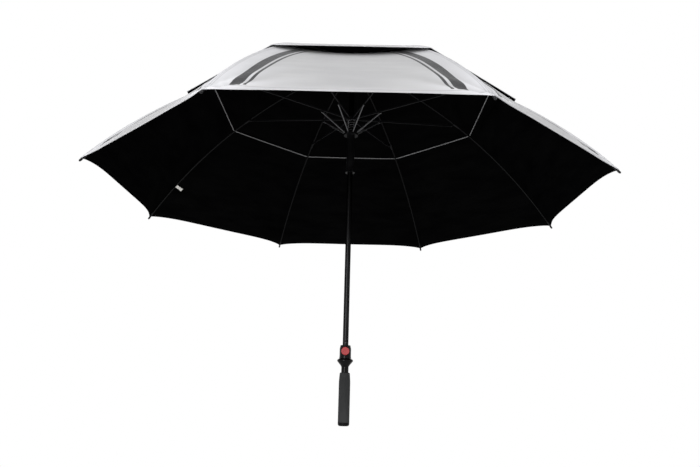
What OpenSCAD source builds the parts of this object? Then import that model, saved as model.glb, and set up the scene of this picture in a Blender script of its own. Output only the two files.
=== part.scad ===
// Automatic golf umbrella with a vented double canopy, standing open on the end of its grip.
// Millimetres, +Z up along the shaft, origin at the centre of the grip's end, release button towards -Y.

/* [Canopy] */
// Radius at which the axis of a rib meets the rim plane
rim_radius = 690; // [650:1:720]
// Height of the rim plane above the end of the grip
rim_height = 607; // [590:1:640]
// Rise of the rib hinges above the rim plane
canopy_rise = 404; // [390:1:430]
// Radius of the bow that the stretched cloth bends each rib to
rib_bow = 1225; // [1100:5:1500]
// Thickness of the cloth
cloth_t = 0.8; // [0.5:0.1:1]
// Clear height of the lower tier above the rib rods
cloth_lift = 0.75; // [0.7:0.05:1]
// Clear height of the upper tier above the lower tier and the brackets
tier_gap = 0.4; // [0.3:0.1:0.8]
// Radius at which the lower tier starts, measured along a rib
vent_radius = 393; // [380:1:420]
// Radius at which the upper tier ends, measured along a rib
flap_radius = 454; // [440:1:480]
// Depth of the hem's scallop between two ribs, seen from above
scallop = 9; // [6:0.5:14]
// Gap between two neighbouring panels at their seam
seam_gap = 0.3; // [0.2:0.1:0.6]
// Radius of the hole in the cloth at the crown
cloth_hole_r = 9; // [8:0.5:12]

/* [Ribs] */
// Diameter of a rib rod
rib_d = 4; // [3.6:0.1:4.4]
// Radius at which the stretcher bracket sits on its rib
bracket_radius = 338; // [320:1:360]
// Distance from the rib axis down to the stretcher pivot
bracket_drop = 7; // [6.6:0.1:9]
// Width of a bracket across its rib
bracket_w = 6; // [5.6:0.1:6.6]
// Length of the bracket's socket for the outer rod
socket_l = 16; // [12:1:24]
// Thickness of the flat tongues at the ends of the inner rib
tongue_t = 2.2; // [1.8:0.1:2.4]
// Height of the flat tongues
tongue_h = 3; // [2.4:0.1:3.2]
// Radius of the round ends of the tongues
eye_r = 3; // [2.6:0.1:3]
// Length of a plastic tip
tip_l = 20; // [16:1:26]
// Diameter of a plastic tip
tip_d = 5.8; // [5.2:0.1:6.4]
// Length of a tip that stands past the corner of the cloth
tip_bare = 8; // [6:0.5:11]
// Length of a tip that stands past the rim plane, along the rib
tip_overrun = 6.5; // [2:0.5:10]

/* [Stretchers and struts] */
// Thickness of a stretcher's round ends, across the radial plane
bar_t = 2.4; // [2:0.1:2.6]
// Depth of a stretcher bar in the radial plane
bar_h = 5; // [4:0.1:5.4]
// Sideways offset of the stretcher's outer end, beside its bracket
bar_offset = 5; // [4.8:0.1:5.6]
// Radius of the stretcher's round ends
bar_eye_r = 2.8; // [2.7:0.1:3]
// Distance along the stretcher from its inner pivot to the strut pivot
strut_at = 77; // [70:1:90]
// Distance of the strut pivot below the stretcher axis
strut_drop = 5; // [4.6:0.1:6]
// Thickness of a strut
strut_t = 2; // [1.6:0.1:2.2]
// Depth of a strut in the radial plane
strut_h = 3.6; // [3:0.1:4]
// Radius of the strut's round ends
strut_eye_r = 2.8; // [2.5:0.1:3]
// Radius of the rivets and bracket pins
pin_r = 1; // [0.8:0.05:1.1]
// Height of a rivet head
rivet_h = 0.9; // [0.6:0.1:1.2]

/* [Crown and runners] */
// Radius of the hinge wire in the crown
crown_wire_ring = 12.5; // [12:0.1:13.5]
// Outside radius of the crown
crown_r = 15.5; // [15.2:0.1:17]
// Height of the crown below its hinge wire
crown_below = 5; // [4:0.1:6]
// Height of the upper runner's hinge wire
upper_runner_z = 843; // [835:1:850]
// Radius of the hinge wire in the upper runner
upper_wire_ring = 11.5; // [11.2:0.1:12]
// Outside radius of the upper runner
upper_runner_r = 14; // [13.6:0.1:14.2]
// Height of the upper runner above and below its wire
upper_half_h = 4; // [3.6:0.1:4.4]
// Height of the lower runner's hinge wire
lower_runner_z = 798; // [790:1:805]
// Radius of the hinge wire in the lower runner
lower_wire_ring = 16.5; // [16.3:0.1:18]
// Outside radius of the lower runner's head
lower_runner_r = 20; // [19.6:0.1:22]
// Height of the lower runner's head above its wire
lower_above = 3.5; // [3.4:0.1:4]
// Height of the lower runner's head below its wire
lower_below = 7; // [6:0.5:10]
// Outside radius of the lower runner's sleeve
sleeve_r = 11.2; // [11:0.1:12.5]
// Distance from the wire to the lower end of the sleeve
sleeve_l = 118; // [100:1:122]
// Radius of the collar at the lower end of the sleeve
collar_r = 13.5; // [12.5:0.1:15]
// Height of that collar
collar_h = 12; // [10:1:20]
// Radius of the hinge wires
wire_r = 0.8; // [0.6:0.05:0.9]

/* [Springs] */
// Radius of the opening spring, to the middle of its wire
spring_ring = 9; // [8.95:0.05:9.2]
// Radius of the opening spring's wire
spring_wire = 0.7; // [0.5:0.05:0.8]
// Turns of the opening spring
spring_turns = 9; // [6:1:12]
// Depth of the spring's seat below the lower runner's wire
spring_seat = 26; // [20:1:40]
// Radius of the button spring, to the middle of its wire
button_spring_ring = 1.9; // [1.5:0.1:2.2]
// Radius of the button spring's wire
button_spring_wire = 0.3; // [0.2:0.05:0.35]
// Turns of the button spring
button_spring_turns = 5; // [4:1:6]

/* [Shaft and top] */
// Diameter of the shaft
shaft_d = 15; // [14:0.1:15.2]
// Wall of the shaft tube
shaft_wall = 1.6; // [1.2:0.1:2]
// Length of the shaft above the crown's hinge wire
shaft_above = 24; // [16:1:30]
// Height of the top cap's tip above the crown's hinge wire
cap_top = 48; // [40:1:52]
// Radius of the top cap's flange
cap_flange_r = 17; // [14:0.5:22]
// Radius of the top cap's spike at its foot
cap_r = 11.5; // [10.5:0.5:13]
// Radius of the spike's rounded end
cap_end_r = 8; // [7:0.5:9.5]

/* [Handle] */
// Length of the grip, with its end cap
grip_l = 133; // [110:1:133]
// Diameter of the grip's straight lower part
grip_d = 29.5; // [27:0.1:32]
// Diameter of the grip at its top
grip_top_d = 26.5; // [24:0.1:29]
// Length of the grip's straight lower part
grip_straight = 110; // [60:1:118]
// Height of the end cap
end_cap_h = 9; // [6:0.5:14]
// Diameter of the neck above the grip
neck_d = 19; // [18:0.1:22]
// Height of the guard's lower edge, where the neck ends
guard_z = 149; // [146:0.5:152]
// Height of the middle of the guard's rim
guard_rim_z = 163.5; // [161:0.5:165.5]
// Diameter of the guard's rim
guard_d = 41.5; // [38:0.5:48]
// Radius of the guard's rounded rim
guard_rim_r = 3.8; // [2.5:0.1:4]
// Height at which the guard's shoulder ends
guard_top_z = 169.5; // [168:0.1:169.6]
// Height at which the guard meets the button housing
housing_z = 173; // [170:0.5:174]
// Height at which the button housing starts to taper
housing_taper_z = 194; // [192:0.5:198]
// Height of the top of the button housing
housing_top = 203; // [201:0.5:205]
// Diameter of the button housing at its middle
housing_d = 30; // [29:0.1:32]
// Diameter of the button housing at its top
housing_top_d = 26; // [23:0.1:28]
// Height of the centre of the button
button_z = 187.5; // [186.5:0.5:189]
// Diameter of the release button
button_d = 21; // [18:0.5:21.5]
// Travel of the release button
button_travel = 3; // [2:0.1:3]
// Distance that the button stands out of its collar
button_proud = 2.5; // [1:0.1:4]

/* [Hidden] */
ribs = 8;
half_gore = 180 / ribs;
numbers = [for (i = [1:ribs]) i];
$fn = 64;
// Fineness of the long, shallow arcs of the ribs
bow_fn = 720;
// Small overlap by which a cutter passes the face that it cuts
cut = 1;

// Fits and clearances
fit_c = 0.06;
slot_c = 0.3;
side_c = 0.25;
eye_c = 0.12;
pin_c = 0.05;
hook_c = 0.35;
face_c = 0.3;

// Rib arc: it runs from the crown's hinge to the rim point, in each rib's radial plane
shaft_r = shaft_d / 2;
rib_r = rib_d / 2;
crown_z = rim_height + canopy_rise;
hinge_point = [crown_wire_ring, crown_z];
rim_point = [rim_radius, rim_height];
chord = rim_point - hinge_point;
bow_centre = (hinge_point + rim_point) / 2
  + [chord.y, -chord.x] / norm(chord) * sqrt(rib_bow * rib_bow - pow(norm(chord) / 2, 2));
function slope_at(radius) = asin((radius - bow_centre.x) / rib_bow);
function turn_of(length) = length / rib_bow * 180 / PI;
function bow_point(slope, offset) = bow_centre + (rib_bow + offset) * [sin(slope), cos(slope)];
crown_slope = slope_at(crown_wire_ring);
bracket_slope = slope_at(bracket_radius);
tip_slope = slope_at(rim_radius) + turn_of(tip_overrun);

// Inner rib: flat tongues at both ends of the rod, bare for a short length
tongue_bare = 4;
tongue_overlap = 6;
rod_start = max(crown_r - crown_wire_ring, crown_below) + tongue_bare;
rod_end_gap = eye_r + tongue_bare;
eye_hole_r = wire_r + eye_c;
cheek_gap = tongue_t / 2 + side_c;
bracket_eye_r = eye_r - 0.4;
cheek_r = eye_r + 0.2;
cheek_inset = 0.6;
socket_wall = 2;
socket_start = bracket_eye_r + socket_wall;
socket_floor = socket_start + socket_wall;
rod_floor_gap = 0.2;
tip_bore_l = 14;
tip_foot_r = rib_r + fit_c + 0.4;
tip_middle = tip_slope - turn_of(tip_l / 2);

// Stretcher: from the upper runner's wire to the bracket's ear
upper_pivot = [upper_wire_ring, upper_runner_z];
ear_point = bow_point(bracket_slope, -bracket_drop);
stretcher_v = ear_point - upper_pivot;
stretcher_l = norm(stretcher_v);
stretcher_a = atan2(stretcher_v.y, stretcher_v.x);
bar_skew = atan2(bar_offset, stretcher_l);
strut_side = bar_offset * strut_at / stretcher_l;

// Strut: from the stretcher's lug to the lower runner's wire, beside the lug
lower_pivot = [lower_wire_ring, lower_runner_z];
strut_pivot = upper_pivot + [
  strut_at * cos(stretcher_a) + strut_drop * sin(stretcher_a),
  strut_at * sin(stretcher_a) - strut_drop * cos(stretcher_a)];
strut_v = lower_pivot - strut_pivot;
strut_l = norm(strut_v);
strut_a = atan2(strut_v.y, strut_v.x);
strut_y = strut_side - bar_t / 2 - face_c - strut_t / 2;
lug_inset = 0.4;
eye_lip = 0.15;

// Closed state: the ribs lie along the shaft, and the stretchers have drawn both runners down
closed_bracket_r = 21;
closed_tip_r = 18.5;
function down_from(p, r, length) = [r, p.y - sqrt(pow(length, 2) - pow(r - p.x, 2))];
function turned(v, a) = [v.x * cos(a) - v.y * sin(a), v.x * sin(a) + v.y * cos(a)];
function turn_between(v, w) = atan2(v.x * w.y - v.y * w.x, v.x * w.x + v.y * w.y);
bracket_point = bow_point(bracket_slope, 0);
tip_point = bow_point(tip_slope, 0);
closed_bracket = down_from(hinge_point, closed_bracket_r, norm(bracket_point - hinge_point));
closed_tip = down_from(closed_bracket, closed_tip_r, norm(tip_point - bracket_point));
outer_turn = turn_between(tip_point - bracket_point, closed_tip - closed_bracket);
closed_ear = closed_bracket + turned(ear_point - bracket_point, outer_turn);
closed_upper = down_from(closed_ear, upper_wire_ring, stretcher_l);
stretcher_turn = turn_between(stretcher_v, closed_ear - closed_upper);
closed_strut = closed_upper + turned(strut_pivot - upper_pivot, stretcher_turn);
closed_lower = down_from(closed_strut, lower_wire_ring, strut_l);

// Cloth: the lower tier clears the rods, the upper tier clears the lower tier
lower_offset = rib_r + cloth_lift;
upper_offset = max(lower_offset + cloth_t, bracket_w / 2, cheek_r) + tier_gap;
cap_lift = 1.4;
corner_slope = tip_slope - turn_of(tip_bare + face_c);
corner_x = bow_point(corner_slope, lower_offset).x * cos(half_gore);
corner_half_w = corner_x * tan(half_gore);
cloth_steps = 14;

// Plan of the hem: drawn in between two ribs, and bent out to the tips close to its corners
hem_steps = 32;
hem_reach = 1.1;
hem_power = 6;
hem_line = [for (k = [0 : hem_steps])
  let (share = hem_reach * (2 * k / hem_steps - 1))
  [corner_x - scallop * (1 - pow(abs(share), hem_power)), share * corner_half_w]];
hem_outside = [for (side = [1, -1]) [2 * rim_radius, side * hem_reach * corner_half_w]];

// Opening spring, between the upper runner and its seat in the lower runner
spring_top = upper_runner_z - upper_half_h - face_c - spring_wire;
spring_low = lower_runner_z - spring_seat + face_c + spring_wire;
spring_side_c = 0.5;
spring_bore_r = spring_ring + spring_wire + spring_side_c;

// Button, stem and catch
boss_wall = 1.5;
button_r = button_d / 2;
boss_r = button_r + boss_wall;
boss_stand = 0.5;
boss_face = housing_d / 2 + boss_stand;
button_skirt = 3.2;
button_edge = 1.2;
button_back = boss_face - button_skirt;
pocket_floor = button_back - button_travel - slot_c;
stem_r = 3.2;
shaft_bore_r = shaft_r - shaft_wall;
catch_w = 4.4;
catch_t = 1.8;
catch_h = 4;
catch_play = 0.8;
nose_edge = 1.2;
nose_sunk = 0.4;
window_low = 1.2;
catch_front = sqrt(pow(shaft_bore_r, 2) - pow(catch_w / 2, 2)) - slot_c;
catch_back = catch_front - catch_t;
catch_out = shaft_r + button_travel - nose_sunk;
catch_z = max(closed_lower.y - sleeve_l + window_low + catch_play / 2, housing_top + face_c);

function rib_angle(i) = -90 + half_gore + (i - 1) * 2 * half_gore;
function gore_angle(i) = rib_angle(i) + half_gore;

// Points of a helix about Z
function helix(ring, low, high, turns) = [
  for (k = [0 : turns * 8])
    [ring * cos(45 * k), ring * sin(45 * k), low + (high - low) * k / (turns * 8)]];
// Least distance between two turns of a helix, less the wire
function least_gap(points, wire) = min([
  for (k = [0 : len(points) - 1], m = [5 : 11])
    if (k + m < len(points)) norm(points[k + m] - points[k])]) - 2 * wire;

// A wire along a helix about Z: rings of 6 points, joined by triangles and closed at both ends
module coil(points, wire) {
  count = len(points);
  rings = [for (k = [0 : count - 1], s = [0 : 5])
    let (a = 45 * k, out = wire * cos(60 * s))
    points[k] + [out * cos(a), out * sin(a), wire * sin(60 * s)]];
  walls = [for (k = [0 : count - 2], s = [0 : 5])
    let (p = 6 * k + s, q = 6 * k + (s + 1) % 6)
    each [[p, p + 6, q], [q, p + 6, q + 6]]];
  low_end = [for (s = [1 : 4]) [0, s, s + 1]];
  top = 6 * (count - 1);
  high_end = [for (s = [1 : 4]) [top, top + s + 1, top + s]];
  polyhedron(points = rings, faces = concat(walls, low_end, high_end), convexity = 10);
}

// Frames: a rib's radial plane, a gore's middle plane, and a point on the rib's bow
module in_rib(i) { rotate([0, 0, rib_angle(i)]) children(); }
module in_gore(i) { rotate([0, 0, gore_angle(i)]) children(); }
module on_bow(slope) {
  p = bow_point(slope, 0);
  translate([p.x, 0, p.y]) rotate([0, slope, 0]) children();
}

// A disc across the radial plane, between two sideways places
module disc(r, y0, y1) {
  translate([0, y1, 0]) rotate([90, 0, 0]) cylinder(r = r, h = y1 - y0);
}

// A flat bar in the radial plane, along +X
module flat(x0, x1, z0, z1, y0, y1) {
  translate([x0, y0, z0]) cube([x1 - x0, y1 - y0, z1 - z0]);
}

// A round rod along the bow, between two slopes
module bow_rod(slope0, slope1, r) {
  translate([bow_centre.x, 0, bow_centre.y]) rotate([90, 0, 0]) rotate([0, 0, 90 - slope1])
    rotate_extrude(angle = slope1 - slope0, $fn = bow_fn)
      translate([rib_bow, 0]) circle(r = r, $fn = 32);
}

module shaft() {
  color([0.05, 0.05, 0.06]) difference() {
    translate([0, 0, end_cap_h]) cylinder(d = shaft_d, h = crown_z + shaft_above - end_cap_h);
    translate([0, 0, end_cap_h - cut])
      cylinder(r = shaft_bore_r, h = crown_z + shaft_above - end_cap_h + 2 * cut);
    translate([0, 0, button_z]) rotate([90, 0, 0]) cylinder(r = stem_r + slot_c, h = shaft_d);
    translate([-catch_w / 2 - slot_c, -shaft_d, catch_z - slot_c])
      cube([catch_w + 2 * slot_c, shaft_d, catch_h + 2 * slot_c]);
  }
}

module top_cap() {
  flange_z = crown_z + upper_offset + cloth_t + cap_lift;
  flange_h = 3;
  flange_bevel = 2;
  spike_z = flange_z + flange_h - flange_bevel / 4;
  dome_z = crown_z + cap_top - cap_end_r;
  color([0.07, 0.07, 0.08]) difference() {
    union() {
      translate([0, 0, flange_z])
        cylinder(r1 = cap_flange_r, r2 = cap_flange_r - flange_bevel, h = flange_h);
      translate([0, 0, spike_z]) cylinder(r1 = cap_r, r2 = cap_end_r, h = dome_z - spike_z);
      translate([0, 0, dome_z]) sphere(r = cap_end_r);
    }
    translate([0, 0, flange_z - cut])
      cylinder(r = shaft_r + fit_c, h = crown_z + shaft_above + face_c - flange_z + cut);
  }
}

// Ring with one slot for each hinged piece and a groove for the hinge wire, which lies in it
module hinge_ring(r, bore, wire_ring, z, below, above, slot_w, slot_in, slot_y, slot_low) {
  difference() {
    translate([0, 0, z - below]) cylinder(r = r, h = below + above);
    translate([0, 0, z - below - cut]) cylinder(r = bore, h = below + above + 2 * cut);
    for (i = numbers) in_rib(i)
      translate([slot_in, slot_y - slot_w / 2, z - slot_low]) cube([r, slot_w, slot_low + above + cut]);
    translate([0, 0, z]) rotate_extrude()
      translate([wire_ring - wire_r - slot_c / 2, -wire_r - slot_c / 2])
        square([r, 2 * wire_r + slot_c]);
  }
}
module hinge_wire(wire_ring, z) {
  translate([0, 0, z]) rotate_extrude() translate([wire_ring, 0]) circle(r = wire_r, $fn = 24);
}

module crown() {
  crown_above = upper_offset - face_c - (crown_r - crown_wire_ring) * tan(crown_slope);
  color([0.09, 0.09, 0.1]) {
    hinge_ring(crown_r, shaft_r + fit_c, crown_wire_ring, crown_z, crown_below, crown_above,
      tongue_t + 2 * slot_c, crown_wire_ring - eye_r - slot_c, 0, crown_below + cut);
    hinge_wire(crown_wire_ring, crown_z);
  }
}

module upper_runner() {
  color([0.1, 0.1, 0.11]) {
    hinge_ring(upper_runner_r, shaft_r + fit_c, upper_wire_ring, upper_runner_z, upper_half_h,
      upper_half_h, bar_t + 2 * slot_c, upper_wire_ring - bar_eye_r - slot_c, 0, bar_eye_r + slot_c);
    hinge_wire(upper_wire_ring, upper_runner_z);
  }
}

module lower_runner() {
  sleeve_end = lower_runner_z - sleeve_l;
  seat_z = lower_runner_z - spring_seat;
  echo(runner_travel = lower_runner_z - closed_lower.y, upper_travel = upper_runner_z - closed_upper.y);
  color([0.08, 0.08, 0.09]) {
    difference() {
      union() {
        hinge_ring(lower_runner_r, shaft_r + fit_c, lower_wire_ring, lower_runner_z, lower_below,
          lower_above, strut_t + 2 * slot_c, lower_wire_ring - strut_eye_r - slot_c, strut_y,
          strut_eye_r + 2 * slot_c);
        translate([0, 0, sleeve_end]) cylinder(r = sleeve_r, h = sleeve_l - lower_below / 2);
        translate([0, 0, sleeve_end]) cylinder(r = collar_r, h = collar_h);
        translate([0, 0, sleeve_end + collar_h])
          cylinder(r1 = collar_r, r2 = sleeve_r, h = collar_r - sleeve_r);
      }
      translate([0, 0, sleeve_end - cut]) cylinder(r = shaft_r + fit_c, h = sleeve_l + cut);
      translate([0, 0, seat_z]) cylinder(r = spring_bore_r, h = spring_seat + lower_above + cut);
      translate([-catch_w / 2 - catch_play, -2 * collar_r, sleeve_end + window_low])
        cube([catch_w + 2 * catch_play, 2 * collar_r, catch_h + 2 * catch_play]);
    }
    hinge_wire(lower_wire_ring, lower_runner_z);
  }
}

module opening_spring() {
  points = helix(spring_ring, spring_low, spring_top, spring_turns);
  echo(opening_spring_least_gap = least_gap(points, spring_wire));
  color([0.2, 0.2, 0.21]) coil(points, spring_wire);
}

module button_housing() {
  color([0.06, 0.06, 0.07]) difference() {
    union() {
      translate([0, 0, housing_z]) cylinder(d = housing_d, h = housing_taper_z - housing_z);
      translate([0, 0, housing_taper_z])
        cylinder(d1 = housing_d, d2 = housing_top_d, h = housing_top - housing_taper_z);
      translate([0, 0, button_z]) rotate([90, 0, 0]) cylinder(r = boss_r, h = boss_face);
    }
    translate([0, 0, housing_z - boss_r]) cylinder(r = shaft_r + fit_c, h = housing_top);
    translate([0, 0, button_z]) rotate([90, 0, 0]) cylinder(r = stem_r + slot_c, h = boss_face + cut);
    translate([0, -pocket_floor, button_z]) rotate([90, 0, 0])
      cylinder(r = button_r + slot_c, h = boss_face);
  }
}

module release_button() {
  front = boss_face + button_proud;
  rim = front - button_edge;
  color([0.75, 0.1, 0.12]) {
    translate([0, 0, button_z]) rotate([90, 0, 0]) {
      translate([0, 0, button_back]) cylinder(r = button_r, h = rim - button_back);
      translate([0, 0, rim]) cylinder(r1 = button_r, r2 = button_r - button_edge, h = button_edge);
      translate([0, 0, catch_back]) cylinder(r = stem_r, h = rim - catch_back);
    }
    translate([-catch_w / 2, -catch_front, button_z - stem_r])
      cube([catch_w, catch_t, catch_z + catch_h - button_z + stem_r]);
    translate([-catch_w / 2, 0, catch_z]) rotate([90, 0, 90]) linear_extrude(height = catch_w)
      polygon([[-catch_back, 0], [-catch_out, 0], [-catch_out, nose_edge],
        [-catch_front, catch_h], [-catch_back, catch_h]]);
  }
}

module button_spring() {
  low = catch_back - face_c - button_spring_wire;
  high = -shaft_bore_r + face_c + 2 * button_spring_wire;
  points = helix(button_spring_ring, high, low, button_spring_turns);
  echo(button_spring_least_gap = least_gap(points, button_spring_wire));
  color([0.6, 0.6, 0.62]) translate([0, 0, button_z]) rotate([90, 0, 0])
    coil(points, button_spring_wire);
}

// Point at which a straight line from a given point touches a circle
function touch_point(centre, r, start, side) =
  let (way = start - centre, a = atan2(way.y, way.x) + side * acos(r / norm(way)))
  centre + r * [cos(a), sin(a)];

module guard_collar() {
  guard_r = guard_d / 2;
  neck_r = neck_d / 2;
  bore = shaft_r + fit_c;
  low = grip_l + face_c;
  high = housing_z - face_c;
  fillet = 1.5;
  lip = 0.4;
  top_r = housing_d / 2 + lip;
  rim = [guard_r - guard_rim_r, guard_rim_z];
  foot = [neck_r + fillet, guard_z + fillet];
  shoulder = [top_r, guard_top_z];
  color([0.06, 0.06, 0.07]) rotate_extrude() union() {
    polygon([[bore, low], [neck_r, low], [neck_r, guard_z - fillet], foot,
      touch_point(rim, guard_rim_r, foot, 1), touch_point(rim, guard_rim_r, shoulder, -1),
      shoulder, [top_r, high], [bore, high]]);
    translate(rim) circle(r = guard_rim_r);
  }
}

module grip() {
  grip_r = grip_d / 2;
  top_r = grip_top_d / 2;
  round_r = 2.5;
  color([0.2, 0.2, 0.21]) rotate_extrude() difference() {
    union() {
      polygon([[0, end_cap_h], [grip_r, end_cap_h], [grip_r, grip_straight],
        [top_r, grip_l - round_r], [0, grip_l - round_r]]);
      translate([0, grip_l - round_r - cut]) square([top_r - round_r, round_r + cut]);
      intersection() {
        translate([top_r - round_r, grip_l - round_r]) circle(r = round_r);
        translate([top_r - round_r, grip_l - round_r]) square(round_r);
      }
    }
    translate([-cut, 0]) square([shaft_r + fit_c + cut, grip_l + cut]);
  }
}

module grip_end_cap() {
  grip_r = grip_d / 2;
  round_r = min(5, end_cap_h - face_c);
  plug_h = 14;
  color([0.16, 0.16, 0.17]) rotate_extrude() union() {
    square([grip_r - round_r, end_cap_h - fit_c]);
    translate([0, round_r]) square([grip_r, end_cap_h - fit_c - round_r]);
    intersection() {
      translate([grip_r - round_r, round_r]) circle(r = round_r);
      translate([grip_r - round_r, 0]) square(round_r);
    }
    square([shaft_bore_r - fit_c, end_cap_h + plug_h]);
  }
}

module rib_inner(i) {
  color([0.1, 0.1, 0.11]) in_rib(i) difference() {
    union() {
      bow_rod(crown_slope + turn_of(rod_start), bracket_slope - turn_of(rod_end_gap), rib_r);
      on_bow(crown_slope) {
        disc(eye_r, -tongue_t / 2, tongue_t / 2);
        flat(0, rod_start + tongue_overlap, -tongue_h / 2, tongue_h / 2, -tongue_t / 2, tongue_t / 2);
      }
      on_bow(bracket_slope) {
        disc(bracket_eye_r, -tongue_t / 2, tongue_t / 2);
        flat(-rod_end_gap - tongue_overlap, 0, -tongue_h / 2, tongue_h / 2, -tongue_t / 2, tongue_t / 2);
      }
    }
    on_bow(crown_slope) disc(eye_hole_r, -tongue_t, tongue_t);
    on_bow(bracket_slope) disc(pin_r + pin_c, -tongue_t, tongue_t);
  }
}

// Bracket: a socket for the outer rod, two cheeks with a pin for the inner rib, an ear for the stretcher
module bracket() {
  half = bracket_w / 2;
  lug = cheek_r - lug_inset;
  difference() {
    on_bow(bracket_slope) translate([socket_start, 0, 0]) rotate([0, 90, 0])
      cylinder(r = half, h = socket_l);
    bow_rod(bracket_slope + turn_of(socket_floor), bracket_slope + turn_of(socket_start + 2 * socket_l),
      rib_r + fit_c);
  }
  on_bow(bracket_slope) {
    for (side = [-1, 1]) {
      y0 = side > 0 ? cheek_gap : -half;
      y1 = side > 0 ? half : -cheek_gap;
      disc(cheek_r, y0, y1);
      flat(0, socket_floor - cheek_inset, cheek_inset - cheek_r, cheek_r - cheek_inset, y0, y1);
    }
    translate([0, 0, -bracket_drop]) disc(cheek_r, cheek_gap, half);
    flat(-lug, lug, lug_inset - bracket_drop, 0, cheek_gap, half);
    disc(pin_r, -half, half);
  }
}

// Tip: a thin sleeve over the end of the rod, under the corner of the cloth, and a knob past the corner
module tip() {
  end_r = tip_d / 2;
  nose = 3;
  nose_in = 1.4;
  difference() {
    on_bow(tip_middle) rotate([0, 90, 0]) translate([0, 0, tip_l / 2]) {
      translate([0, 0, -tip_l]) cylinder(r = tip_foot_r, h = tip_l - tip_bare + cut);
      translate([0, 0, -tip_bare]) cylinder(r = end_r, h = tip_bare - nose);
      translate([0, 0, -nose]) cylinder(r1 = end_r, r2 = end_r - nose_in, h = nose);
    }
    bow_rod(tip_slope - turn_of(2 * tip_l), tip_slope - turn_of(tip_l - tip_bore_l), rib_r + fit_c);
  }
}

module rib_outer(i) {
  color([0.1, 0.1, 0.11]) in_rib(i) {
    bow_rod(bracket_slope + turn_of(socket_floor + rod_floor_gap),
      tip_slope - turn_of(tip_l - tip_bore_l + rod_floor_gap), rib_r);
    bracket();
    tip();
  }
}

// Stretcher: an eye on the upper runner's wire, a skewed bar, a riveted end beside the bracket, and a lug
module stretcher(i) {
  half = bar_t / 2;
  bar_half = half - eye_lip;
  pin_reach = half + face_c + strut_t + face_c;
  lug = strut_eye_r - lug_inset;
  color([0.14, 0.14, 0.15]) in_rib(i)
    translate([upper_pivot.x, 0, upper_pivot.y]) rotate([0, -stretcher_a, 0]) difference() {
      union() {
        disc(bar_eye_r, -half, half);
        rotate([0, 0, bar_skew])
          flat(0, norm([stretcher_l, bar_offset]), -bar_h / 2, bar_h / 2, -bar_half, bar_half);
        translate([stretcher_l, bar_offset, 0]) {
          disc(bar_eye_r, -half, half);
          disc(2 * pin_r, 0, half + rivet_h);
        }
        translate([strut_at, strut_side, -strut_drop]) {
          disc(strut_eye_r, -half, half);
          flat(-lug, lug, lug_inset, strut_drop, -half, half);
          disc(pin_r, -pin_reach - rivet_h / 2, 0);
          disc(2 * pin_r, -pin_reach - rivet_h, -pin_reach);
        }
      }
      disc(eye_hole_r, -bar_t, bar_t);
    }
}

// Strut: an eye on the stretcher's rivet, and an open hook on the lower runner's wire
module strut(i) {
  seat_r = wire_r + hook_c;
  mouth_r = seat_r - eye_c;
  color([0.55, 0.55, 0.57]) in_rib(i)
    translate([strut_pivot.x, strut_y + strut_t / 2, strut_pivot.y]) rotate([0, -strut_a, 0])
      rotate([90, 0, 0]) linear_extrude(height = strut_t) difference() {
        union() {
          circle(r = strut_eye_r);
          translate([0, -strut_h / 2]) square([strut_l, strut_h]);
          translate([strut_l, 0]) circle(r = strut_eye_r);
        }
        circle(r = pin_r + pin_c);
        translate([strut_l, 0]) rotate(180 - strut_a) {
          circle(r = seat_r);
          translate([0, -mouth_r]) square([2 * strut_eye_r, 2 * mouth_r]);
        }
      }
}

// Section of a cloth tier in the middle plane of its gore
module tier_section(slope0, slope1, offset) {
  slopes = [for (k = [0 : cloth_steps]) slope0 + (slope1 - slope0) * k / cloth_steps];
  inner = [for (s = slopes) bow_point(s, offset)];
  outer = [for (k = [cloth_steps : -1 : 0]) bow_point(slopes[k], offset + cloth_t)];
  polygon([for (p = concat(inner, outer)) [p.x * cos(half_gore), p.y]]);
}

// One panel of a tier: the section drawn across the gore, cut at both seams
module panel(slope0, slope1, offset) {
  wide = 2 * rim_radius;
  apex = seam_gap / 2 / sin(half_gore);
  intersection() {
    rotate([90, 0, 0]) linear_extrude(height = wide, center = true) tier_section(slope0, slope1, offset);
    linear_extrude(height = 2 * crown_z)
      polygon([[apex, 0], [apex + wide, wide * tan(half_gore)], [apex + wide, -wide * tan(half_gore)]]);
  }
}

module canopy_upper(i) {
  color([0.78, 0.78, 0.8]) in_gore(i) difference() {
    panel(slope_at(cloth_hole_r / 2), slope_at(flap_radius), upper_offset);
    cylinder(r = cloth_hole_r, h = 2 * crown_z);
  }
}

module canopy_lower(i) {
  color([0.74, 0.74, 0.76]) in_gore(i) difference() {
    panel(slope_at(vent_radius), corner_slope + turn_of(cut), lower_offset);
    linear_extrude(height = 2 * crown_z) polygon(concat(hem_line, hem_outside));
  }
}

shaft();
top_cap();
crown();
upper_runner();
lower_runner();
opening_spring();
button_housing();
release_button();
button_spring();
guard_collar();
grip();
grip_end_cap();
for (i = numbers) {
  rib_inner(i);
  rib_outer(i);
  stretcher(i);
  strut(i);
  canopy_upper(i);
  canopy_lower(i);
}
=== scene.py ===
import math

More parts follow.
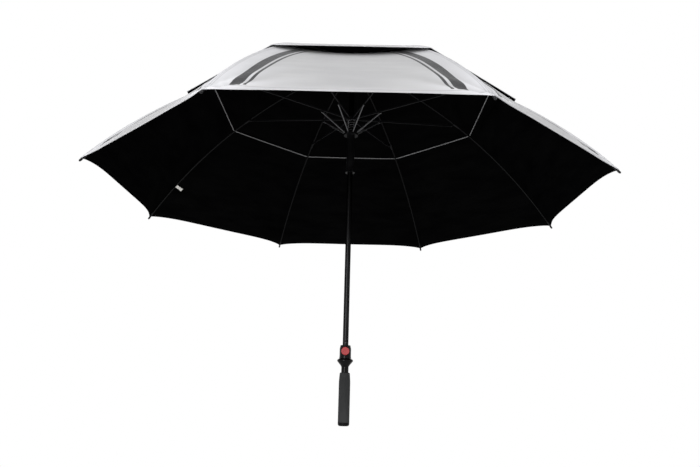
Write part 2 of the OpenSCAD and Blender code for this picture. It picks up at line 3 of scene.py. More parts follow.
import bpy
import numpy as np
from mathutils import Matrix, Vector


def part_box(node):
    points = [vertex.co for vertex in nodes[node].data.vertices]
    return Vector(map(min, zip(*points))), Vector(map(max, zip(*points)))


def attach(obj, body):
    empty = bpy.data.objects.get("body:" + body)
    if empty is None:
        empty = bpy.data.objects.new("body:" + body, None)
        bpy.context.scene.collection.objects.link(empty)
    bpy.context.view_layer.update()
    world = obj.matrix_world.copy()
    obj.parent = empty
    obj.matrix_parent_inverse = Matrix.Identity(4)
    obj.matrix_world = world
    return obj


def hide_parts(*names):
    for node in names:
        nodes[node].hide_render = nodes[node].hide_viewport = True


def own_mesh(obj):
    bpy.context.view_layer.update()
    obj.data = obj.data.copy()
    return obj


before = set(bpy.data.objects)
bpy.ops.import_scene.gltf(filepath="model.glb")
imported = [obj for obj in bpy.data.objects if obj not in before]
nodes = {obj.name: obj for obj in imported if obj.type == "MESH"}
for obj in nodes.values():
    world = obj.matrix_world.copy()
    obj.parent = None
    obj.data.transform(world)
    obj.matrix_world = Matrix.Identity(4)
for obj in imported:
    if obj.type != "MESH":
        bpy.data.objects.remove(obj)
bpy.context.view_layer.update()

# Looks of the golf umbrella: cloth, label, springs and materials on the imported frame.
# Sizes are in metres, with +Z up along the shaft.

# Number of ribs, and half the angle of a gore
RIBS = 8
HALF = math.pi / RIBS
# A rib's bow: its radius, and the radius and height of its ends, at the crown's hinge and at the tip
BOW = 1.225
HINGE = np.array([0.0125, 1.011])
RIM = np.array([0.690, 0.607])
# Radii of the vent's edge, of the flap's hem and of the hole around the shaft
VENT_R = 0.393
FLAP_R = 0.454
HOLE_R = 0.009
# Height of each tier over the middle of the ribs, and the thickness of the cloth
LOWER = 0.00315
UPPER = 0.00435
CLOTH_T = 0.0005
# End of the seam on a rib's tip, and how deep and how squarely the hem draws in between two tips
TIP_OVERRUN = 0.0065
TIP_BARE = 0.0083
SCALLOP = 0.009
HEM_POWER = 6
# Sag of each lower gore at its middle, at these shares of the way from the vent edge to the hem
SAG_AT = np.array([0, 0.1, 0.2, 0.5, 1])
SAG = {i: (0.0010, 0.0105, 0.0140, 0.0125, 0.0078) for i in range(1, RIBS + 1)}
SAG[8] = (0.0165, 0.0155, 0.0145, 0.0095, 0.0048)
SAG[7] = (0.0165, 0.0160, 0.0150, 0.0085, 0.0050)
SAG[1] = (0.0150, 0.0145, 0.0135, 0.0075, 0.0025)
# Height at which the loose hem of the vent flap stands off each rib
FLAP_LIFT = {i: 0.0050 for i in range(1, RIBS + 1)}
FLAP_LIFT.update({7: 0.0085, 8: 0.0042, 1: 0.0045, 2: 0.0066})
# Share of the way down the flap from which it is loose, its swell at the hem, and how far it draws in above
LOOSE_FROM = 0.6
FLAP_SWELL = 0.0005
FLAP_DRAWN = 0.006
# How flat the sag is across the middle of a gore
CREST_POWER = 0.8
# Sewn edges: height, width and softness of the seam's ridge, the hem's roll and the roll of the vent's tape
SEAM_RIDGE = (0.00045, 0.0066, 0.0016)
HEM_ROLL = (0.00035, 0.0112, 0.0012)
TAPE_ROLL = (0.0004, 0.0032, 0.0009)
TAPE_WIDTH = 0.0025
TAPE_END = 0.008
# Rows and columns of a gore's mesh, with closer ones along its seams and edges
COLUMNS = {"lower": 51, "upper": 41}
SEAM_COLUMNS = [-0.988, -0.976, 0.976, 0.988]
ROWS = 40
TOP_ROWS = {"lower": [0, 0.0008, 0.0024, 0.0033], "upper": [0, 0.0012]}
HEM_ROWS = [0, 0.0012, 0.010, 0.0114]
HEM_PASSES = 40

# Stitches: distance of their lines from the seam, the hem and the tape's edge, thread and pitch
SEAM_STITCH = 0.0035
HEM_STITCH = 0.0095
TAPE_STITCH = 0.0016
THREAD = 0.0004
STITCH_PITCH = 0.0034
# Painted shade along the foot of the folded cloth's edges, as distances from the seam and the hem
SEAM_FOLD_SHADE = (0.0058, 0.0068)
HEM_FOLD_SHADE = (0.0105, 0.0115)
# Printed stripes, as distances from the seam, the bare strip over the hem, and the softness of such edges
WIDE_STRIPE = (0.034, 0.052)
SLIM_STRIPE = (0.058, 0.063)
STRIPE_END = 0.016
LINE_SOFT = 0.0006
# Pitch of the cloth's weave and of the tape's ribs
WEAVE_PITCH = 0.0009
TAPE_PITCH = 0.0012
# Distances from the shaft's axis between which a rib is a bracket, and from which it is a tip
BRACKET_SPAN = (0.3255, 0.356)
TIP_FROM = 0.6765
# Back of the release button, in front of the shaft's axis
BUTTON_BACK = 0.0123

CHORD = RIM - HINGE
LENGTH = np.hypot(*CHORD)
BOW_WAY = np.array([CHORD[1], -CHORD[0]]) / LENGTH
CENTRE = (HINGE + RIM) / 2 + BOW_WAY * math.sqrt(BOW**2 - LENGTH**2 / 4)


def slope_at(radius):
    return np.arcsin((radius - CENTRE[0]) / BOW)


CORNER_S = slope_at(RIM[0]) + (TIP_OVERRUN - TIP_BARE) / BOW


def rib_angle(i):
    return -math.pi / 2 + HALF + (i - 1) * 2 * HALF


def gore_angle(i):
    return rib_angle(i) + HALF


# Node helpers


class Graph:
    """A material's node tree, with short calls for the nodes that the finishes use."""

    def __init__(self, name, colour, roughness, **settings):
        self.material = bpy.data.materials.new(name)
        self.material.use_nodes = True
        self.tree = self.material.node_tree
        self.shader = self.tree.nodes["Principled BSDF"]
        self.shader.inputs["Base Color"].default_value = (*colour, 1)
        self.shader.inputs["Roughness"].default_value = roughness
        for socket, value in settings.items():
            self.shader.inputs[socket.replace("_", " ")].default_value = value

    def add(self, kind, **settings):
        node = self.tree.nodes.new("ShaderNode" + kind)
        for key, value in settings.items():
            setattr(node, key, value)
        return node

    def put(self, socket, value):
        if isinstance(value, bpy.types.NodeSocket):
            self.tree.links.new(value, socket)
        else:
            socket.default_value = value

    def math(self, operation, a, b=0.0, c=0.0):
        node = self.add("Math", operation=operation)
        for socket, value in zip(node.inputs, (a, b, c)):
            self.put(socket, value)
        return node.outputs[0]

    def attribute(self, name):
        return self.add("Attribute", attribute_name=name).outputs["Fac"]

    def place(self):
        return self.add("TexCoord").outputs["Object"]

    def plan(self):
        """Distance from the shaft's axis."""
        split = self.add("SeparateXYZ")
        self.put(split.inputs[0], self.place())
        x, y = (self.math("POWER", split.outputs[k], 2.0) for k in range(2))
        return self.math("SQRT", self.math("ADD", x, y))

    def ramp(self, value, start, end):
        """0 at start, easing to 1 at end."""
        node = self.add("MapRange", interpolation_type="SMOOTHSTEP")
        self.put(node.inputs["Value"], value)
        node.inputs["From Min"].default_value = start
        node.inputs["From Max"].default_value = end
        return node.outputs[0]

    def band(self, value, low, high, soft):
        """1 between low and high, falling to 0 over soft."""
        up = self.ramp(value, low - soft, low)
        down = self.ramp(value, high + soft, high)
        return self.math("MULTIPLY", up, down)

    def dashes(self, distance, along, at):
        """Stitches: short dashes on a line at a distance from an edge."""
        line = self.band(distance, at - THREAD, at + THREAD, THREAD / 2)
        step = self.math("FRACT", self.math("DIVIDE", along, STITCH_PITCH))
        return self.math("MULTIPLY", line, self.band(step, 0.12, 0.82, 0.06))

    def noise(self, scale, detail=3.0, stretch=(1, 1, 1)):
        spread = self.add("Mapping")
        spread.inputs["Scale"].default_value = stretch
        self.put(spread.inputs["Vector"], self.place())
        node = self.add("TexNoise")
        self.put(node.inputs["Vector"], spread.outputs[0])
        node.inputs["Scale"].default_value = scale
        node.inputs["Detail"].default_value = detail
        node.inputs["Roughness"].default_value = 0.55
        return node.outputs["Fac"]

    def mix(self, factor, a, b):
        node = self.add("Mix", data_type="RGBA")
        self.put(node.inputs["Factor"], factor)
        for socket, value in ((node.inputs["A"], a), (node.inputs["B"], b)):
            self.put(socket, value if isinstance(value, bpy.types.NodeSocket) else (*value, 1))
        return node.outputs["Result"]

    def tint(self, tone, mask, share, colour):
        """The tone, with a share of a colour where the mask is 1."""
        return self.mix(self.math("MULTIPLY", mask, share), tone, colour)

    def spread(self, value, low, high):
        """A noise's usual range, stretched from low to high."""
        node = self.add("MapRange")
        self.put(node.inputs["Value"], value)
        node.inputs["From Min"].default_value = 0.3
        node.inputs["From Max"].default_value = 0.7
        node.inputs["To Min"].default_value = low
        node.inputs["To Max"].default_value = high
        return node.outputs[0]

    def between(self, noise, low, high):
        """A colour that a noise moves from low to high."""
        return self.mix(self.spread(noise, 0, 1), low, high)

    def bump(self, *layers, edge=0.0):
        """Layers of (height, depth in metres), one on the other, over corners rounded by edge."""
        last = None
        if edge:
            bevel = self.add("Bevel", samples=4)
            bevel.inputs["Radius"].default_value = edge
            last = bevel.outputs[0]
        for height, depth in layers:
            node = self.add("Bump")
            node.inputs["Strength"].default_value = 1.0
            node.inputs["Distance"].default_value = depth
            self.put(node.inputs["Height"], height)
            if last:
                self.put(node.inputs["Normal"], last)
            last = node.outputs[0]
        self.put(self.shader.inputs["Normal"], last)

    def colour(self, socket):
        self.put(self.shader.inputs["Base Color"], socket)

    def roughness(self, socket):
        self.put(self.shader.inputs["Roughness"], socket)


# Materials


def weave(g):
    """Height of a plain weave: two sets of threads, from the cloth's own across and along distances."""
    turn = 2 * math.pi / WEAVE_PITCH
    warp = g.math("SINE", g.math("MULTIPLY", g.attribute("across"), turn))
    weft = g.math("SINE", g.math("MULTIPLY", g.attribute("along"), turn))
    return g.math("MULTIPLY", warp, weft)


def sewing(g):
    """Stitches along the seams and the hem."""
    seams = g.dashes(g.attribute("seam"), g.attribute("along"), SEAM_STITCH)
    hems = g.dashes(g.attribute("hem"), g.attribute("across"), HEM_STITCH)
    return g.math("MAXIMUM", seams, hems)


def cloth_outside(name, striped):
    g = Graph(name, (0.46, 0.46, 0.47), 0.6, Metallic=0.05, Sheen_Weight=0.1, Specular_IOR_Level=0.25)
    seam = g.attribute("seam")
    hem = g.attribute("hem")
    streaks = g.noise(26, 4, (0.35, 0.35, 2.6))
    cloud = g.noise(7, 2)
    tone = g.between(cloud, (0.43, 0.43, 0.44), (0.48, 0.48, 0.485))
    tone = g.mix(g.spread(streaks, 0, 0.25), tone, (0.365, 0.365, 0.38))
    # Painted highlights: lighter fans at the tips, and lighter bands along the hem and the seams, where
    # light catches the cloth
    tone = g.tint(tone, g.attribute("tip_highlight"), 0.9, (0.80, 0.80, 0.83))
    tone = g.tint(tone, g.band(hem, -1.0, 0.002, 0.03), 0.25, (0.74, 0.74, 0.76))
    tone = g.tint(tone, g.band(seam, -1.0, 0.004, 0.07), 0.4, (0.76, 0.76, 0.80))
    if striped:
        wide = g.band(seam, *WIDE_STRIPE, LINE_SOFT)
        slim = g.band(seam, *SLIM_STRIPE, LINE_SOFT)
        above_hem = g.band(hem, STRIPE_END, 1.0, LINE_SOFT)
        stripes = g.math("MULTIPLY", g.math("MAXIMUM", wide, slim), above_hem)
        ink = g.between(g.noise(900, 2), (0.026, 0.026, 0.029), (0.040, 0.040, 0.043))
        tone = g.mix(stripes, tone, ink)
    stitches = sewing(g)
    tone = g.tint(tone, stitches, 0.7, (0.30, 0.30, 0.31))
    # Painted shade: darker lines where the seam's ridge and the hem's roll step down to the cloth
    fold_shade = g.math("MAXIMUM", g.band(seam, *SEAM_FOLD_SHADE, LINE_SOFT), g.band(hem, *HEM_FOLD_SHADE, LINE_SOFT))
    g.colour(g.tint(tone, fold_shade, 0.35, (0.26, 0.26, 0.27)))
    g.roughness(g.spread(streaks, 0.54, 0.68))
    g.bump((streaks, 0.0012), (weave(g), 0.00005), (stitches, 0.0003))
    return g.material


def cloth_inside():
    g = Graph("cloth_inside", (0.002, 0.002, 0.0022), 0.9, Specular_IOR_Level=0.0)
    streaks = g.noise(22, 4, (0.4, 0.4, 2.2))
    stitches = sewing(g)
    tone = g.between(streaks, (0.0013, 0.0013, 0.0014), (0.0027, 0.0027, 0.0028))
    tone = g.mix(stitches, tone, (0.007, 0.007, 0.0072))
    edge = g.band(g.attribute("seam"), -0.001, 0.0012, LINE_SOFT)
    g.colour(g.tint(tone, edge, 0.6, (0.006, 0.006, 0.0064)))
    g.roughness(g.spread(streaks, 0.78, 0.92))
    g.bump((streaks, 0.001), (weave(g), 0.00005), (stitches, 0.0003))
    return g.material


def hem_tape():
    g = Graph("hem_tape", (0.34, 0.34, 0.35), 0.6, Sheen_Weight=0.2)
    ribs = g.math("SINE", g.math("MULTIPLY", g.attribute("across"), 2 * math.pi / TAPE_PITCH))
    stitches = g.dashes(g.attribute("vent"), g.attribute("across"), TAPE_STITCH)
    tone = g.between(g.noise(60, 3), (0.22, 0.22, 0.225), (0.29, 0.29, 0.295))
    g.colour(g.tint(tone, stitches, 0.8, (0.12, 0.12, 0.125)))
    g.roughness(g.spread(g.noise(200, 2), 0.55, 0.7))
    g.bump((ribs, 0.00008), (stitches, 0.0003))
    return g.material


def gloss_plastic(name, low, high, roughness, shine=0.5):
    g = Graph(name, high, roughness, Specular_IOR_Level=shine)
    wear = g.noise(45, 5)
    g.colour(g.between(wear, low, high))
    g.roughness(g.spread(wear, roughness - 0.05, roughness + 0.07))
    g.bump((g.noise(2600, 2), 0.00002), (g.noise(14, 2), 0.0001), edge=0.0005)
    return g.material


def lacquered_tube():
    g = Graph("lacquered_tube", (0.014, 0.014, 0.0145), 0.3, Metallic=1.0, Specular_Tint=(0.3, 0.3, 0.3, 1))
    rubbed = g.noise(16, 5, (6, 6, 0.5))
    g.colour(g.between(rubbed, (0.011, 0.011, 0.0113), (0.017, 0.017, 0.0175)))
    g.roughness(g.spread(rubbed, 0.26, 0.36))
    g.bump((g.noise(420, 2, (3, 3, 0.2)), 0.00002), edge=0.0003)
    return g.material


def drawn_steel(name, low, high, roughness, metallic, shine=0.5):
    g = Graph(name, high, roughness, Metallic=metallic, Specular_IOR_Level=shine)
    lines = g.noise(300, 4)
    g.colour(g.between(lines, low, high))
    g.roughness(g.spread(lines, roughness - 0.08, roughness + 0.12))
    g.bump((lines, 0.00004), edge=0.0003)
    return g.material


def rib_finish():
    """Pultruded rod, with moulded plastic on the brackets and tips."""
    g = Graph("rib_finish", (0.005, 0.005, 0.0055), 0.42, Specular_IOR_Level=0.12)
    plan = g.plan()
    bracket = g.band(plan, *BRACKET_SPAN, 0.0004)
    tip = g.band(plan, TIP_FROM, 1.0, 0.0004)
    fibre = g.noise(240, 4)
    rod = g.between(fibre, (0.002, 0.002, 0.0023), (0.005, 0.005, 0.0054))
    g.colour(g.mix(tip, g.mix(bracket, rod, (0.008, 0.008, 0.0088)), (0.014, 0.014, 0.015)))
    g.roughness(g.spread(fibre, 0.34, 0.5))
    g.bump((fibre, 0.00004), edge=0.0003)
    return g.material


def grip_foam():
    g = Graph("grip_foam", (0.035, 0.036, 0.037), 0.78, Specular_IOR_Level=0.1)
    pores = g.noise(1500, 4)
    cloud = g.noise(30, 4, (1, 1, 0.4))
    g.colour(g.between(cloud, (0.026, 0.027, 0.0275), (0.042, 0.043, 0.044)))
    g.roughness(g.spread(pores, 0.7, 0.9))
    g.bump((pores, 0.00012), (cloud, 0.0003), edge=0.0008)
    return g.material


def label_cloth():
    g = Graph("label_cloth", (0.78, 0.77, 0.72), 0.7, Sheen_Weight=0.1)
    threads = g.noise(1800, 2)
    g.colour(g.between(threads, (0.72, 0.71, 0.66), (0.82, 0.81, 0.77)))
    g.roughness(g.spread(threads, 0.62, 0.78))
    g.bump((threads, 0.00008))
    return g.material


outside = {
    "lower": cloth_outside("cloth_outside_lower", True),
    "upper": cloth_outside("cloth_outside_upper", False),
}
inside = cloth_inside()
tape = hem_tape()
tube = lacquered_tube()
plastic = gloss_plastic("moulded_black", (0.002, 0.002, 0.0022), (0.004, 0.004, 0.0043), 0.16, 0.10)
satin = gloss_plastic("moulded_satin", (0.003, 0.003, 0.0033), (0.006, 0.006, 0.0064), 0.42, 0.05)
red = gloss_plastic("button_red", (0.33, 0.024, 0.028), (0.42, 0.034, 0.038), 0.28)
ribs_mat = rib_finish()
bar_mat = drawn_steel("dark_bar", (0.005, 0.005, 0.0055), (0.008, 0.008, 0.0088), 0.46, 0.0, 0.12)
catch_mat = drawn_steel("catch_steel", (0.05, 0.05, 0.052), (0.09, 0.09, 0.093), 0.4, 0.8)
strut_mat = drawn_steel("bright_strut", (0.15, 0.15, 0.155), (0.22, 0.22, 0.225), 0.4, 0.9)
spring_mat = drawn_steel("spring_wire", (0.2, 0.2, 0.21), (0.3, 0.3, 0.31), 0.34, 1.0)
foam = grip_foam()

# Solids that are shown as packed


def dress(material, *names):
    for name in names:
        mesh = nodes[name].data
        mesh.materials.clear()
        mesh.materials.append(material)


dress(tube, "shaft")
dress(plastic, "button_housing", "guard_collar", "top_cap")
dress(satin, "crown", "upper_runner", "lower_runner", "grip_end_cap")
dress(foam, "grip")
for i in range(1, RIBS + 1):
    dress(ribs_mat, f"rib_inner_{i}", f"rib_outer_{i}")
    dress(bar_mat, f"stretcher_{i}")
    dress(strut_mat, f"strut_{i}")

# The button is red, and the stem and catch behind it are steel
dress(red, "release_button")
button_mesh = nodes["release_button"].data
button_mesh.materials.append(catch_mat)
for face in button_mesh.polygons:
    face.material_index = int(face.center.y > -BUTTON_BACK - 0.0001)

# Mesh helpers


def link(name, mesh):
    item = bpy.data.objects.new(name, mesh)
    bpy.context.scene.collection.objects.link(item)
    return item


def smooth_mesh(name, points, faces, *materials):
    mesh = bpy.data.meshes.new(name)
    mesh.from_pydata([tuple(p) for p in points], [], faces)
    mesh.polygons.foreach_set("use_smooth", [True] * len(faces))
    for material in materials:
        mesh.materials.append(material)
    return mesh


def turned(points, angle):
    c, s = math.cos(angle), math.sin(angle)
    return points @ np.array([[c, s, 0], [-s, c, 0], [0, 0, 1]])


def ease(x):
    x = np.clip(x, 0, 1)
    return x * x * (3 - 2 * x)


def curve(x, at, values):
    """A smooth curve through the given points."""
    k = np.clip(np.searchsorted(at, x, side="right") - 1, 0, len(at) - 2)
    step = at[k + 1] - at[k]
    t = (x - at[k]) / step
    steep = np.gradient(values, at)
    start = (1 + 2 * t) * (1 - t) ** 2 * values[k] + t * (1 - t) ** 2 * step * steep[k]
    return start + t**2 * (3 - 2 * t) * values[k + 1] - t**2 * (1 - t) * step * steep[k + 1]


# Cloth


def cloth_point(s, v, offset):
    """A point of a gore, in its own frame.

    s is the slope along the rib, v the share across from seam to seam, offset the height over the rib.
    """
    x = (CENTRE[0] + (BOW + offset) * np.sin(s)) * math.cos(HALF)
    return np.stack([x, v * x * math.tan(HALF), CENTRE[1] + (BOW + offset) * np.cos(s)], axis=-1)


def rows_between(length, inner, outer, count):
    """Shares along a column: close rows at both edges for the hems, even rows between."""
    near = np.array(inner) / length
    far = 1 - np.array(outer)[::-1] / length
    return np.concatenate([near, np.linspace(near[-1], far[0], count)[1:-1], far])


def sewn_edge(distance, height, width, soft):
    """Height of a sewn edge: full near the edge, gone at width from it."""
    return height * ease((width - distance) / soft)


def hem_slopes(v):
    """Slope at which each column of the lower tier meets the scalloped hem."""
    corner = cloth_point(CORNER_S, 1.0, LOWER)
    s = np.full_like(v, CORNER_S)
    for _ in range(HEM_PASSES):
        share = np.abs(v) * cloth_point(s, 1.0, LOWER)[:, 1] / corner[1]
        x = corner[0] - SCALLOP * (1 - share**HEM_POWER)
        s = np.arcsin((x / math.cos(HALF) - CENTRE[0]) / (BOW + LOWER))
    return s


def tip_folds(points):
    """Height of the folds that fan into a gore from its two tips, and a painted highlight that fans from
    the tips along them.
    """
    depth, reach, bare, highlight_reach = 0.0021, 0.15, 0.03, 0.12
    folds_per_radian, phase = 15.0, 0.6
    height = np.zeros(points.shape[:2])
    tip_highlight = np.zeros(points.shape[:2])
    for side in (0, -1):
        corner = points[-1, side]
        seam_way = points[0, side] - corner
        seam_way = seam_way / np.linalg.norm(seam_way)
        way = points - corner
        far = np.linalg.norm(way, axis=-1)
        turn = np.arccos(np.clip((way @ seam_way) / np.maximum(far, 1e-6), -1, 1))
        fan = np.sin(turn * folds_per_radian + phase) * ease(turn / 0.22) * ease((1.75 - turn) / 0.3)
        height += depth * fan * ease(far / bare) * np.exp(-((far / reach) ** 2))
        # Painted highlight: lighter cloth fanning from each tip along its folds
        tip_highlight += (0.55 + 0.45 * fan) * np.exp(-((far / highlight_reach) ** 2))
    return height, np.clip(tip_highlight, 0, 1)


def flap_lift(share_along, v, crest, i):
    """Height of the upper tier over its ribs: drawn in at the middle, standing off at its loose hem."""
    loose = ease((share_along - LOOSE_FROM) / (1 - LOOSE_FROM))[:, None]
    drawn = FLAP_DRAWN * np.sin(np.pi * np.clip(share_along, 0, 1)) ** 2
    start, end = FLAP_LIFT[i], FLAP_LIFT[i % RIBS + 1]
    hem = start + (end - start) * (v + 1) / 2 + FLAP_SWELL * crest
    return loose * hem - drawn[:, None] * crest


def sheet_faces(rows, columns, taped_rows, top_slot):
    """Faces of a sheet with two sides, and their slots: 0 outside, 1 inside, 2 tape."""
    index = np.arange(rows * columns).reshape(rows, columns)
    under = index + rows * columns
    faces, slots = [], []

    def quad(a, b, c, d, slot):
        faces.append((int(a), int(b), int(c), int(d)))
        slots.append(slot)

    for r in range(rows - 1):
        below = 2 if r < taped_rows else 1
        for c in range(columns - 1):
            quad(index[r, c], index[r + 1, c], index[r + 1, c + 1], index[r, c + 1], 0)
            quad(under[r, c], under[r, c + 1], under[r + 1, c + 1], under[r + 1, c], below)
        quad(index[r, 0], under[r, 0], under[r + 1, 0], index[r + 1, 0], 1)
        quad(index[r, -1], index[r + 1, -1], under[r + 1, -1], under[r, -1], 1)
    for c in range(columns - 1):
        quad(index[0, c], index[0, c + 1], under[0, c + 1], under[0, c], top_slot)
        quad(index[-1, c], under[-1, c], under[-1, c + 1], index[-1, c + 1], 0)
    return faces, slots


def gore(name, tier, i):
    lower = tier == "lower"
    shares = np.linspace(-1, 1, COLUMNS[tier])
    shares = np.unique(np.concatenate([shares, SEAM_COLUMNS]))
    base = LOWER if lower else UPPER
    first = slope_at(VENT_R if lower else HOLE_R)
    last = hem_slopes(shares) if lower else np.full_like(shares, slope_at(FLAP_R))
    length = BOW * (CORNER_S - first if lower else last[0] - first)
    share_along = rows_between(length, TOP_ROWS[tier], HEM_ROWS, ROWS)
    s = first + share_along[:, None] * (last - first)[None, :]
    v = np.broadcast_to(shares, s.shape)
    flat = cloth_point(s, v, base)
    from_start = BOW * (s - first)
    to_hem = BOW * (last[None, :] - s)
    half_width = np.abs(cloth_point(s, 1.0, base)[..., 1])
    to_seam = (half_width - np.abs(flat[..., 1])) * math.cos(HALF)
    crest = (1 - v**2) ** CREST_POWER
    ridge = sewn_edge(to_seam, *SEAM_RIDGE)
    hem_roll = sewn_edge(to_hem, *HEM_ROLL)
    if lower:
        depth = curve(share_along, SAG_AT, np.array(SAG[i]))
        # Folds at the tips, and the painted highlight that fans from the tips with them
        folds, tip_highlight = tip_folds(flat)
        lift = folds - depth[:, None] * crest
        tape_roll = sewn_edge(from_start, *TAPE_ROLL) * (to_seam > TAPE_END)
        taped_rows = int(np.sum(from_start[1:, 0] < TAPE_WIDTH))
    else:
        lift = flap_lift(share_along, v, crest, i)
        tip_highlight = tape_roll = 0 * v
        taped_rows = 0
    outer = cloth_point(s, v, base + lift + CLOTH_T / 2 + ridge + hem_roll)
    inner = cloth_point(s, v, base + lift - CLOTH_T / 2 - hem_roll - tape_roll)
    points = turned(np.concatenate([outer.reshape(-1, 3), inner.reshape(-1, 3)]), gore_angle(i))
    faces, slots = sheet_faces(*s.shape, taped_rows, 2 if lower else 0)
    mesh = smooth_mesh(name, points, faces, outside[tier], inside, tape)
    mesh.polygons.foreach_set("material_index", slots)
    for key, values in (
        ("seam", to_seam),
        ("hem", to_hem),
        ("vent", from_start),
        ("along", from_start),
        ("across", flat[..., 1]),
        # Painted highlight fanning from the tips
        ("tip_highlight", tip_highlight),
    ):
        held = mesh.attributes.new(key, "FLOAT", "POINT")
        held.data.foreach_set("value", np.tile(np.ravel(values), 2).astype(np.float32))
    mesh.update()
    item = link(name, mesh)
    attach(item, f"canopy_{tier}_{i}")
    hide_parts(f"canopy_{tier}_{i}")
    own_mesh(item)


for i in range(1, RIBS + 1):
    gore(f"gore_lower_{i}", "lower", i)
    gore(f"gore_upper_{i}", "upper", i)

# Blank care label, sewn into the seam over a rib and hanging inside the canopy


def label(name, rib, at, width, length, droop):
    side = rib - 1
    under_cloth, seam_gap, curl_depth, thick = 0.0012, 0.0022, 0.0008, 0.0003
    seam = cloth_point(slope_at(np.array([at, at + width])), 1.0, LOWER - under_cloth)
    way = seam[1] - seam[0]
    way = way / np.linalg.norm(way)
    u, w = np.meshgrid(np.linspace(0, 1, 9), np.linspace(0, 1, 13), indexing="ij")
    curl = curl_depth * np.sin(np.pi * w) * np.cos(np.pi * u)
    inward = -seam_gap - math.cos(droop) * length * w
    down = -under_cloth - math.sin(droop) * length * w - curl
    top = seam[0] + way * (width * u)[..., None] + np.stack([0 * w, inward, down], axis=-1)
    count = u.size
    index = np.arange(count).reshape(u.shape)
    points = np.concatenate([top.reshape(-1, 3), top.reshape(-1, 3) - np.array([0, 0, thick])])
    faces = []
    for r in range(u.shape[0] - 1):
        for c in range(u.shape[1] - 1):
            corners = index[r, c], index[r + 1, c], index[r + 1, c + 1], index[r, c + 1]
            ring = [int(k) for k in corners]
            faces.append(tuple(reversed(ring)))
            faces.append(tuple(k + count for k in ring))
    edge = [int(k) for k in (*index[0, :], *index[1:, -1], *index[-1, -2::-1], *index[-2:0:-1, 0])]
    for a, b in zip(edge, edge[1:] + edge[:1]):
        faces.append((b, a, a + count, b + count))
    item = link(name, smooth_mesh(name, turned(points, gore_angle(side)), faces, label_cloth()))
    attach(item, f"canopy_lower_{side}")
    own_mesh(item)


label("care_label", rib=6, at=0.5945, width=0.0105, length=0.0235, droop=math.radians(22))

# Springs


def coil(name, ring, wire, low, high, turns, sides=10, steps=24):
    k = np.arange(turns * steps + 1)
    a = 2 * np.pi * k / steps
    s = 2 * np.pi * np.arange(sides) / sides
    out = ring + wire * np.cos(s)[None, :]
    z = (low + (high - low) * k / (turns * steps))[:, None] + wire * np.sin(s)[None, :]
    points = np.stack([out * np.cos(a)[:, None], out * np.sin(a)[:, None], z], axis=-1).reshape(-1, 3)
    faces = []
    for r in range(len(k) - 1):
        for c in range(sides):
            d = (c + 1) % sides
            faces.append((r * sides + c, (r + 1) * sides + c, (r + 1) * sides + d, r * sides + d))
    faces.append(tuple(range(sides)))
    faces.append(tuple((len(k) - 1) * sides + c for c in reversed(range(sides))))
    return smooth_mesh(name, points, faces, spring_mat)


low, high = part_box("opening_spring")
wire = 0.0007
mesh = coil("spring_opening", 0.009, wire, low.z + wire, high.z - wire, turns=9)
spring = link("spring_opening", mesh)
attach(spring, "upper_runner")
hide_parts("opening_spring")
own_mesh(spring)

low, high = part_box("button_spring")
wire = 0.0003
mesh = coil("spring_button", 0.0019, wire, -high.y + wire, -low.y - wire, turns=5)
lay = Matrix.Rotation(math.pi / 2, 4, "X")
mesh.transform(Matrix.Translation((0, 0, (low.z + high.z) / 2)) @ lay)
spring = link("spring_button", mesh)
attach(spring, "shaft")
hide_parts("button_spring")
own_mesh(spring)

# Camera at the photograph's angle, for an image 700 pixels wide and 467 high

IMAGE_WIDTH = 700
SENSOR_WIDTH = 36


def look(position, yaw, pitch, roll, focal):
    """A camera at a position, turned by angles in degrees, with its focal length in pixels."""
    yaw, pitch, roll = (math.radians(turn) for turn in (yaw, pitch, roll))
    cy, sy, cp, sp = math.cos(yaw), math.sin(yaw), math.cos(pitch), math.sin(pitch)
    ahead = np.array([sy * cp, cy * cp, sp])
    right = np.array([cy, -sy, 0.0])
    up = np.cross(right, ahead)
    across = math.cos(roll) * right + math.sin(roll) * up
    upright = -math.sin(roll) * right + math.cos(roll) * up
    data = bpy.data.cameras.new("camera")
    data.sensor_width = SENSOR_WIDTH
    data.lens = focal / IMAGE_WIDTH * SENSOR_WIDTH
    data.clip_start, data.clip_end = 0.05, 200
    item = link("camera", data)
    rows = [[across[k], upright[k], -ahead[k], position[k]] for k in range(3)]
    item.matrix_world = Matrix(rows + [[0, 0, 0, 1]])
    bpy.context.scene.camera = item


look((0.0191, -1.6924, 0.0912), yaw=-0.50, pitch=13.75, roll=1.455, focal=636.8)

# Stage: pale floor, soft light, white surroundings

FLOOR_Z = -0.8
FLOOR_HALF = 40
# Distances from the axis between which the floor fades into the white surroundings
FADE = (0.9, 2.4)
AMBIENT = 0.38
WHITE = (1, 1, 1, 1)


def seen(tree):
    """1 for rays from the camera, and for those that a reflection or glass sends on."""
    paths = tree.nodes.new("ShaderNodeLightPath")
    total = paths.outputs["Is Camera Ray"]
    for ray in ("Is Glossy Ray", "Is Transmission Ray"):
        pick = tree.nodes.new("ShaderNodeMath")
        pick.operation = "MAXIMUM"
        tree.links.new(total, pick.inputs[0])
        tree.links.new(paths.outputs[ray], pick.inputs[1])
        total = pick.outputs[0]
    return total


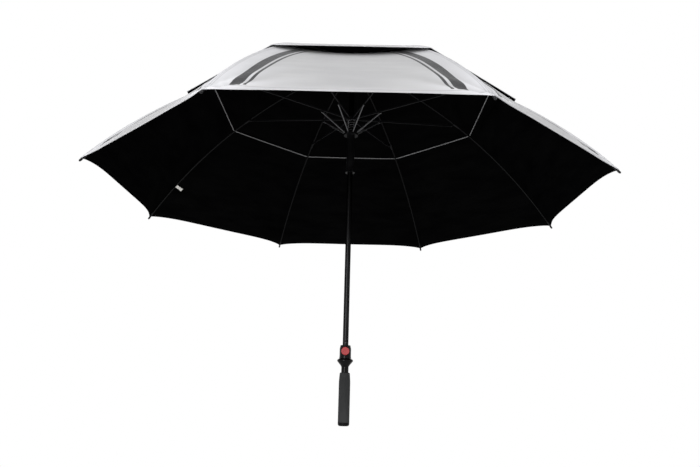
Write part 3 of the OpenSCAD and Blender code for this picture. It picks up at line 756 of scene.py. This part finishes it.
mesh = bpy.data.meshes.new("floor")
corners = [(x * FLOOR_HALF, y * FLOOR_HALF, FLOOR_Z) for x, y in ((-1, -1), (1, -1), (1, 1), (-1, 1))]
mesh.from_pydata(corners, [], [(0, 1, 2, 3)])
floor = link("floor", mesh)
g = Graph("floor", (0.86, 0.86, 0.86), 0.9, Specular_IOR_Level=0.1)
fade = g.ramp(g.plan(), *FADE)
white = g.add("Emission")
white.inputs["Color"].default_value = WHITE
white.inputs["Strength"].default_value = 1.0
blend = g.add("MixShader")
g.put(blend.inputs[0], g.math("MULTIPLY", seen(g.tree), fade))
g.put(blend.inputs[1], g.shader.outputs[0])
g.put(blend.inputs[2], white.outputs[0])
g.put(g.tree.nodes["Material Output"].inputs["Surface"], blend.outputs[0])
floor.data.materials.append(g.material)

world = bpy.data.worlds.new("studio")
bpy.context.scene.world = world
world.use_nodes = True
tree = world.node_tree
soft = tree.nodes["Background"]
backdrop = tree.nodes.new("ShaderNodeBackground")
for background, strength in ((soft, AMBIENT), (backdrop, 1.0)):
    background.inputs["Color"].default_value = WHITE
    background.inputs["Strength"].default_value = strength
blend = tree.nodes.new("ShaderNodeMixShader")
tree.links.new(seen(tree), blend.inputs[0])
tree.links.new(soft.outputs[0], blend.inputs[1])
tree.links.new(backdrop.outputs[0], blend.inputs[2])
tree.links.new(blend.outputs[0], tree.nodes["World Output"].inputs["Surface"])


def softbox(name, place, aim, size, power, tall=None):
    data = bpy.data.lights.new(name, "AREA")
    data.shape = "RECTANGLE" if tall else "DISK"
    data.size = size
    if tall:
        data.size_y = tall
    data.energy = power
    item = link(name, data)
    item.location = place
    way = Matrix.Translation(place).inverted() @ Matrix.Translation(aim)
    item.rotation_euler = way.to_translation().to_track_quat("-Z", "Y").to_euler()


softbox("key", (-1.6, -2.8, 2.4), (0, 0, 0.7), 2.4, 20)
softbox("fill", (2.2, -2.2, 1.4), (0, 0, 0.6), 2.4, 4)
softbox("strip", (-0.9, -2.6, 0.4), (0, 0, 0.4), 0.5, 44, tall=1.6)
softbox("left", (-2.8, -0.4, 2.7), (-0.5, -0.3, 0.75), 2.4, 18)
softbox("right", (2.8, -0.4, 2.7), (0.5, -0.3, 0.75), 2.4, 40)
softbox("back", (0.4, 2.6, 2.6), (0, 0, 0.8), 2.4, 26)

bpy.context.scene.view_settings.view_transform = "Standard"
